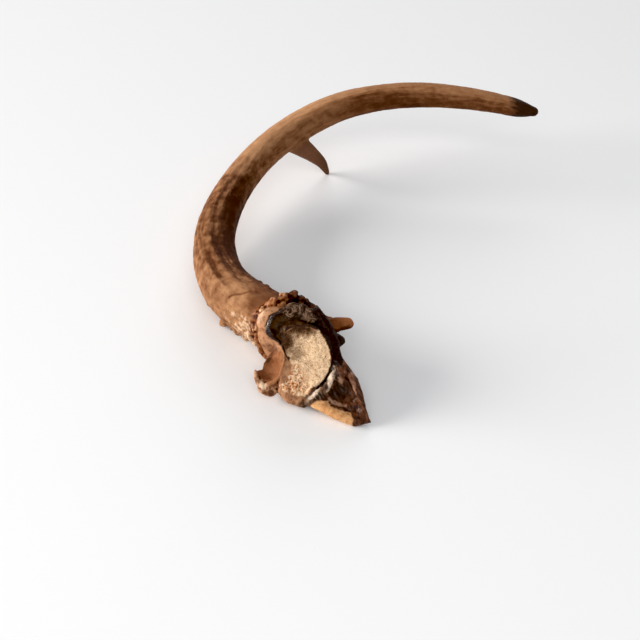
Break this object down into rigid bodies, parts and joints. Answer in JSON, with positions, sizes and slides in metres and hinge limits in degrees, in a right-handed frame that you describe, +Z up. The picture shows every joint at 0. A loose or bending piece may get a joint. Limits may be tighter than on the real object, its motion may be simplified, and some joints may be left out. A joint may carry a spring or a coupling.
{
  "type": "deer antler",
  "caption": "Curved deer antler with a pearled burr, a fork tine and a broken piece of skull at its base, lying on a surface.",
  "frame": {"origin": "middle of the bounding box, on the surface the antler lies on", "axes": "+Z up from that surface, -Y towards the broken skull and the burr, +X the way the beam's tip points"},
  "size_m": [0.2583, 0.3151, 0.0717],
  "materials": {
    "bone": "old broken bone: a pale porous cream break, smooth tan and pinkish outer bone, and near-black dried tissue with a slight gloss",
    "antler": "dry brown antler with long furrows, a pearled base, paler on worn ridges and darker on the inner side and at the tip, satin"
  },
  "bodies": {
    "root": {"skull_fragment": "bone", "lower_beam": "antler", "upper_beam": "antler", "fork_tine": "antler"}
  },
  "joints": []
}
